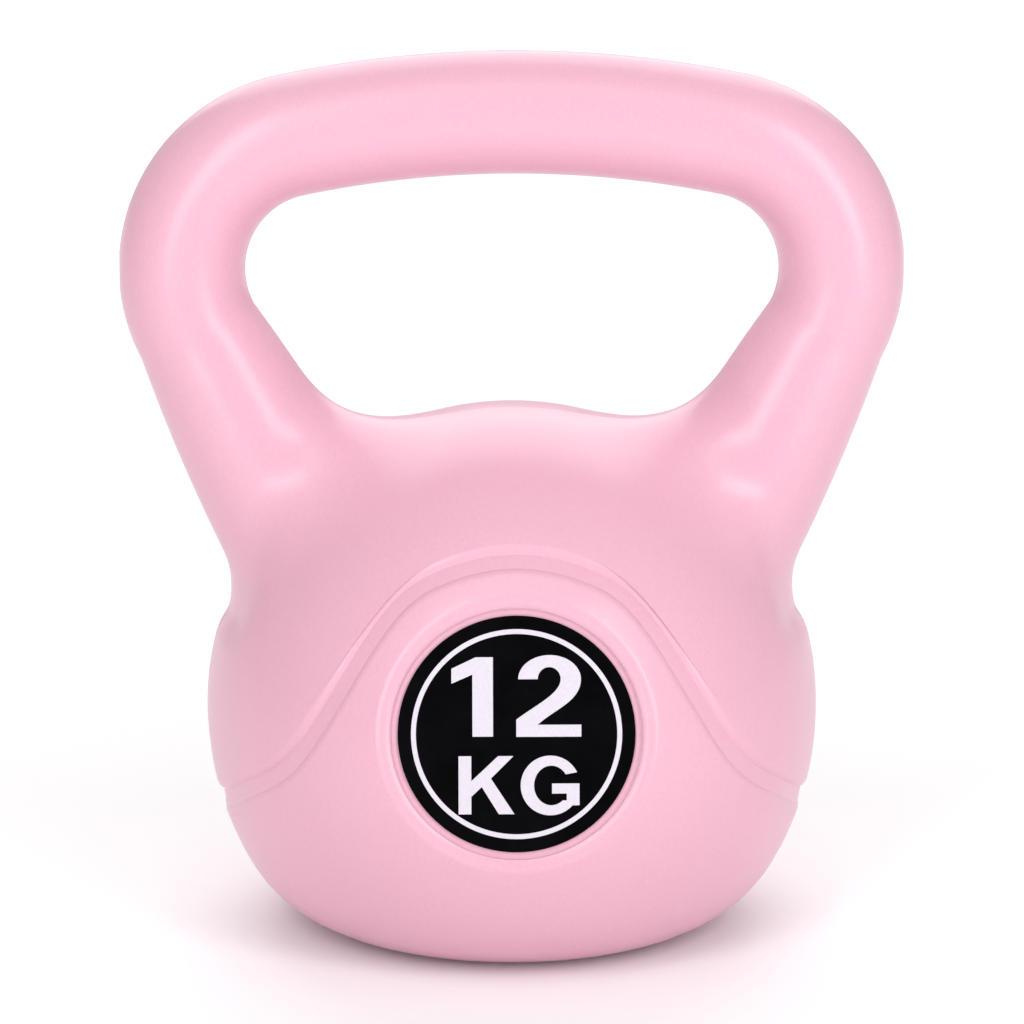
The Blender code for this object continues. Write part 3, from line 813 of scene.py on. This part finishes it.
plug_corners = [
    (0, PLUG_TOP),
    (SPIGOT_RADIUS - PLUG_BEAD, PLUG_TOP),
    (SPIGOT_RADIUS, bead_foot + 3 * PLUG_BEAD),
    (SPIGOT_RADIUS + PLUG_BEAD, bead_foot + PLUG_BEAD),
    (SPIGOT_RADIUS, bead_foot),
    (SPIGOT_RADIUS, FLANGE_TOP),
    (FLANGE_RADIUS, FLANGE_TOP),
    (FLANGE_RADIUS, FLANGE_BOTTOM),
    (cup, FLANGE_BOTTOM),
    (cup - PLUG_BEAD, cup_floor),
    (0.58 * cup, cup_floor),
    (0.56 * cup, cup_floor - STIFFENER_HEIGHT),
    (0.46 * cup, cup_floor - STIFFENER_HEIGHT),
    (0.44 * cup, cup_floor),
    (NUB_RADIUS, cup_floor),
    (NUB_RADIUS - 0.0004, cup_floor - NUB_HEIGHT),
    (0, cup_floor - NUB_HEIGHT),
]
plug_grid = turned_upright(ALL_ROUND[::2], *rounded(plug_corners, MOULD_ROUND).T)
plug = piece_of("base_plug", mesh_of("base_plug", [plug_grid]))

# %% [markdown]
# ## Finishes
#
# Every finish is named for its material and for how its surface was made. Image textures would need
# an unwrapped surface; patterns worked out by nodes need none and show no seams. They read the
# object's own coordinates in metres, so a pattern's scale is 1000 over the size of its grain in
# millimetres.


# %% Helpers for finishes
def linear(hex_colour):
    """An sRGB hex colour as linear red, green, blue and alpha."""
    parts = [int(hex_colour[k : k + 2], 16) / 255 for k in (1, 3, 5)]
    bright = [part / 12.92 if part <= 0.04045 else ((part + 0.055) / 1.055) ** 2.4 for part in parts]
    return [*bright, 1]


def finish_named(name, values):
    """A new material, and its Principled shader with these plain values."""
    material = bpy.data.materials.new(name)
    material.use_nodes = True
    shader = material.node_tree.nodes["Principled BSDF"]
    for socket, value in values.items():
        shader.inputs[socket].default_value = value
    return material, shader


def add_node(material, kind, output, inputs, stops=(), feeds=None, **settings):
    """Add a node and return one of its outputs. An input is a value or another node's output, the
    stops are a ramp's places and hex colours in rising order, and `feeds` is a socket to link to."""
    node = material.node_tree.nodes.new("ShaderNode" + kind)
    for name, value in settings.items():
        setattr(node, name, value)
    for socket, given in inputs.items():
        if isinstance(given, bpy.types.NodeSocket):
            material.node_tree.links.new(given, node.inputs[socket])
        else:
            node.inputs[socket].default_value = given
    for k, (place, colour) in enumerate(stops):
        ramp = node.color_ramp.elements
        element = ramp[k] if k < len(ramp) else ramp.new(place)
        element.position, element.color = place, linear(colour)
    if feeds:
        material.node_tree.links.new(node.outputs[output], feeds)
    return node.outputs[output]


def grain(millimetres, **others):
    """The inputs of a pattern whose largest grains are this big, beside its others."""
    return {"Scale": 1000 / millimetres, **others}


# %% [markdown]
# ### Pink polyethylene
#
# The shell is blown against a sandblasted mould. The plastic cools there before it can flow into the
# finest hollows, so it comes out satin: a soft orange peel of a few millimetres under a fine grain.
# The colour hardly changes over it, but the gloss does, in wide clouds.

# %% The blown shell's finish
pink, shader = finish_named("blown_polyethylene", {"IOR": 1.5})
place = add_node(pink, "TexCoord", "Object", {})
cloud = add_node(pink, "TexNoise", "Fac", grain(45, Vector=place, Detail=3, Roughness=0.6))
speck = add_node(pink, "TexNoise", "Fac", grain(1.1, Vector=place, Detail=2, Roughness=0.7))
peel = add_node(pink, "TexNoise", "Fac", grain(3.0, Vector=place, Detail=2))
blast = add_node(pink, "TexNoise", "Fac", grain(0.55, Vector=place, Detail=2))
pinks = [(0.3, "#D6A1B4"), (0.7, "#DAA6B8")]
add_node(pink, "ValToRGB", "Color", {"Fac": speck}, pinks, shader.inputs["Base Color"])
satin = {"Value": cloud, "To Min": 0.27, "To Max": 0.33}
add_node(pink, "MapRange", "Result", satin, feeds=shader.inputs["Roughness"])
peel_bump = add_node(pink, "Bump", "Normal", {"Height": peel, "Distance": 0.000020})
blast_bump = {"Height": blast, "Normal": peel_bump, "Distance": 0.000012}
add_node(pink, "Bump", "Normal", blast_bump, feeds=shader.inputs["Normal"])
print(pink.name, "has", len(pink.node_tree.nodes), "nodes")

# %% [markdown]
# ### Black vinyl and white ink
#
# The labels are cut from calendered vinyl, rolled nearly smooth, with a faint haze where it was
# rubbed down. The ink is pushed through a screen in one thick, matt coat. It reads a touch violet
# beside the black and is slightly uneven.

# %% The vinyl's finish
vinyl, shader = finish_named("calendered_vinyl", {"Specular IOR Level": 0.03})
place = add_node(vinyl, "TexCoord", "Object", {})
haze = add_node(vinyl, "TexNoise", "Fac", grain(16, Vector=place, Detail=4, Roughness=0.65))
dimple = add_node(vinyl, "TexNoise", "Fac", grain(0.8, Vector=place, Detail=2))
blacks = [(0.35, "#020203"), (0.75, "#07070B")]
add_node(vinyl, "ValToRGB", "Color", {"Fac": haze}, blacks, shader.inputs["Base Color"])
rubbed = {"Value": haze, "To Min": 0.26, "To Max": 0.40}
add_node(vinyl, "MapRange", "Result", rubbed, feeds=shader.inputs["Roughness"])
dimple_bump = {"Height": dimple, "Distance": 0.000006}
add_node(vinyl, "Bump", "Normal", dimple_bump, feeds=shader.inputs["Normal"])
print(vinyl.name, "has", len(vinyl.node_tree.nodes), "nodes")

# %% The ink's finish
ink, shader = finish_named("screen_ink", {"Roughness": 0.55, "IOR": 1.45})
place = add_node(ink, "TexCoord", "Object", {})
patch = add_node(ink, "TexNoise", "Fac", grain(0.7, Vector=place, Detail=3))
whites = [(0.3, "#C8C1CC"), (0.7, "#D0C9D4")]
add_node(ink, "ValToRGB", "Color", {"Fac": patch}, whites, shader.inputs["Base Color"])
print(ink.name, "has", len(ink.node_tree.nodes), "nodes")

# %% [markdown]
# ### Black polyethylene
#
# The plug is injection moulded in a spark-eroded mould, which leaves a grain finer and sharper than
# the shell's. The same noise shifts its colour, its gloss and its height, so they agree.

# %% The plug's finish
black, shader = finish_named("injected_polyethylene", {"IOR": 1.5})
place = add_node(black, "TexCoord", "Object", {})
spark = add_node(black, "TexNoise", "Fac", grain(0.6, Vector=place, Detail=3))
blacks = [(0.3, "#161618"), (0.8, "#232326")]
add_node(black, "ValToRGB", "Color", {"Fac": spark}, blacks, shader.inputs["Base Color"])
worn = {"Value": spark, "To Min": 0.42, "To Max": 0.58}
add_node(black, "MapRange", "Result", worn, feeds=shader.inputs["Roughness"])
spark_bump = {"Height": spark, "Distance": 0.00003}
add_node(black, "Bump", "Normal", spark_bump, feeds=shader.inputs["Normal"])
print(black.name, "has", len(black.node_tree.nodes), "nodes")

# %% [markdown]
# ### Cement with iron sand
#
# The ballast sets inside the shell: grey, dull paste with dark grains of a millimetre or two. Cells
# give the grains and a noise the paste; the mean of the two drives both colour and height.

# %% The ballast's finish
ballast, shader = finish_named("cast_cement", {"Roughness": 0.92})
place = add_node(ballast, "TexCoord", "Object", {})
sand = add_node(ballast, "TexVoronoi", "Distance", grain(1.8, Vector=place))
paste = add_node(ballast, "TexNoise", "Fac", grain(12, Vector=place, Detail=5))
both = add_node(ballast, "Math", "Value", {0: sand, 1: paste}, operation="ADD")
mean = add_node(ballast, "Math", "Value", {0: both, 1: 0.5}, operation="MULTIPLY")
greys = [(0.25, "#4A4745"), (0.40, "#7E7A75"), (0.55, "#97928B")]
add_node(ballast, "ValToRGB", "Color", {"Fac": mean}, greys, shader.inputs["Base Color"])
cast_bump = {"Height": mean, "Distance": 0.0004}
add_node(ballast, "Bump", "Normal", cast_bump, feeds=shader.inputs["Normal"])
print(ballast.name, "has", len(ballast.node_tree.nodes), "nodes")

# %% Put the finishes on, and tie each piece to the frame
for piece, finish, slot in (
    (shell, pink, "shell"),
    (plug, black, "plug"),
    (labels["front_label_vinyl"], vinyl, "label"),
    (labels["back_label_vinyl"], vinyl, "label"),
    (labels["front_label_ink"], ink, "label"),
    (labels["back_label_ink"], ink, "label"),
):
    piece.data.materials.clear()
    piece.data.materials.append(finish)
    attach(piece, "root")
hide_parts("shell")
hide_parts("fill_plug")
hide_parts("front_label")
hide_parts("back_label")
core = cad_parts["ballast_core"]
for place in core.material_slots:
    place.material = ballast
print("the ballast keeps its own mesh:", core.name, len(core.data.polygons), "faces")

# %% [markdown]
# ## The studio
#
# The kettlebell stands on a plain white floor between two tall soft boxes, one on each side of the
# camera, with a weaker one above and a broad lamp over the floor behind. The tall boxes draw long
# highlights down the legs; the floor throws light back up under the bar and the ball.

# %% Floor
FLOOR_REACH = 4
paper_values = {"Base Color": linear("#F8F8F8"), "Roughness": 0.9, "Specular IOR Level": 0.1}
paper, shader = finish_named("matt_backdrop_paper", paper_values)
floor_corners = [(x * FLOOR_REACH, y * FLOOR_REACH, 0) for x, y in ((-1, -1), (1, -1), (1, 1), (-1, 1))]
floor_mesh = bpy.data.meshes.new("floor")
floor_mesh.from_pydata(floor_corners, [], [(0, 1, 2, 3)])
floor_mesh.materials.append(paper)
floor = bpy.data.objects.new("floor", floor_mesh)
bpy.context.scene.collection.objects.link(floor)
floor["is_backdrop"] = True
print("floor:", 2 * FLOOR_REACH, "m wide")


# %% Lights
LIGHTS_AIM = np.array([0, 0, 0.13])


def ray_at(turn, rise):
    """The direction this far round from the front towards the right, and this far up, in radians."""
    across = math.cos(rise)
    return np.array([across * math.sin(turn), -across * math.cos(turn), math.sin(rise)])


def soft_light(name, azimuth, elevation, distance, width, height, power):
    """A soft box on a sphere round the object, aimed at its middle. Azimuth 0 is in front and 90 is
    to the right; angles in degrees."""
    lamp = bpy.data.lights.new(name, "AREA")
    lamp.shape = "RECTANGLE"
    lamp.size, lamp.size_y = width, height
    lamp.energy = power
    holder = bpy.data.objects.new(name, lamp)
    turn, rise = math.radians(azimuth), math.radians(elevation)
    holder.location = LIGHTS_AIM + distance * ray_at(turn, rise)
    holder.rotation_euler = (math.pi / 2 - rise, 0, turn)
    bpy.context.scene.collection.objects.link(holder)


soft_light("left softbox", -27, 22, 1.5, 0.40, 1.4, 9.4)
soft_light("right softbox", 39, 20, 1.5, 0.42, 1.3, 9.8)
soft_light("top softbox", 0, 58, 1.5, 0.9, 0.5, 2.2)
soft_light("backdrop light", 180, 41, 3.0, 3.0, 3.0, 54)

world = bpy.data.worlds.new("studio")
world.use_nodes = True
surroundings = world.node_tree.nodes["Background"]
surroundings.inputs["Color"].default_value = (1, 1, 1, 1)
surroundings.inputs["Strength"].default_value = 0.56
bpy.context.scene.world = world
bpy.context.scene.view_settings.view_transform = "Standard"
print("lights:", [lamp.name for lamp in bpy.data.lights])

# %% Camera: a long lens in front, thirteen degrees up and one degree to the left, tipped a little
SENSOR = 36
FIELD = math.radians(9.92)
CAMERA_DISTANCE = 1.872
CAMERA_RISE = math.radians(13)
CAMERA_TURN = math.radians(-0.95)
AIM = np.array([0, 0, 0.1456])
TIPPED = math.radians(0.39)

camera = bpy.data.cameras.new("camera")
camera.sensor_width = SENSOR
camera.lens = SENSOR / 2 / math.tan(FIELD / 2)
camera.clip_end = 20
holder = bpy.data.objects.new("camera", camera)
holder.location = AIM + CAMERA_DISTANCE * ray_at(CAMERA_TURN, CAMERA_RISE)
holder.rotation_euler = (math.pi / 2 - CAMERA_RISE - TIPPED, 0, CAMERA_TURN)
bpy.context.scene.collection.objects.link(holder)
bpy.context.scene.camera = holder
print("lens:", round(camera.lens, 1), "mm on a sensor", SENSOR, "mm wide")

# %% Compare the finished object's box with the frame's, and finish
seen_low, seen_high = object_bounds()
sizes = {"cad": [list(cad_low), list(cad_high)], "visual": [list(seen_low), list(seen_high)]}
for name, (low, high) in sizes.items():
    print(name, [round(1000 * value, 2) for value in (*low, *high)])
